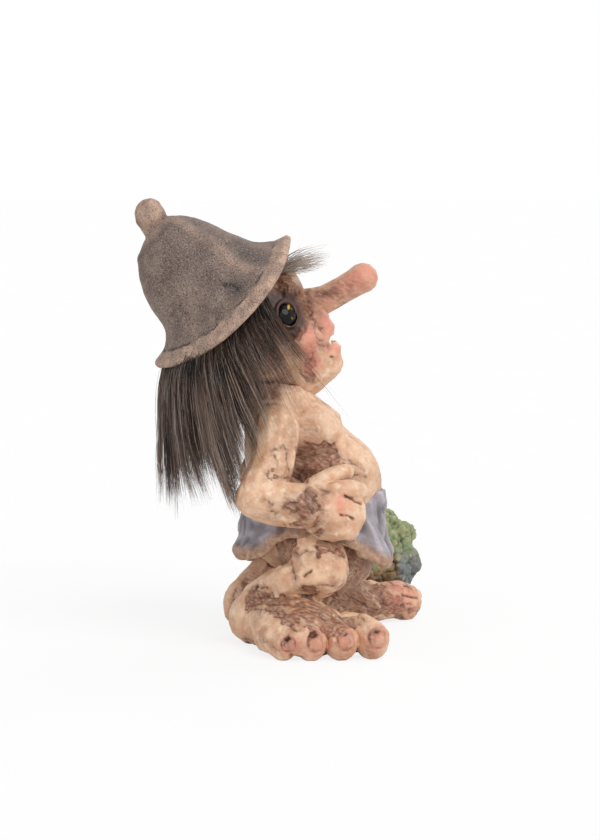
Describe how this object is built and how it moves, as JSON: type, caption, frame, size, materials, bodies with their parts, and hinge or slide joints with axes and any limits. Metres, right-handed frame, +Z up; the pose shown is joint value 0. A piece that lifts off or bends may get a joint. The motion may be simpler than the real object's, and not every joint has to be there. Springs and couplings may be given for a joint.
{
  "type": "norwegian troll figure",
  "caption": "Cast troll figure with a long upturned nose, fur hair under a tilted cone hat, a loincloth, big bare feet and a mossy clump beside it.",
  "frame": {"origin": "on the ground in the middle of the figure's bounding box", "axes": "+Z up, the troll looks along -Y and its right hand is at -X"},
  "size_m": [0.1145, 0.1004, 0.1508],
  "materials": {
    "cast_skin": "hand-painted matt resin, brown wash in the creases, pink on nose, cheeks, lips and nails",
    "cast_hat": "painted matt grey brown with fine dark speckle and a tan rubbed rim",
    "cast_cloth": "painted matt blue grey with a tan rubbed hem",
    "cast_moss": "painted matt green, ochre and blue grey",
    "eye_bead": "high gloss, black pupil in a gold iris",
    "tooth_enamel": "gloss white",
    "fur_skin": "raw underside of the fur, hidden",
    "fur": "long loose fur, dark brown with grey strands"
  },
  "bodies": {
    "root": {"torso": "cast_skin", "loincloth": "cast_cloth", "right_leg": "cast_skin", "left_leg": "cast_skin", "right_arm": "cast_skin", "left_arm": "cast_skin", "tail": "cast_skin", "head": "cast_skin", "right_eye": "eye_bead", "left_eye": "eye_bead", "tooth": "tooth_enamel", "hat": "cast_hat", "fur_hide": "fur_skin", "hair": "fur", "forelock": "fur", "moss_clump": "cast_moss"}
  },
  "joints": []
}
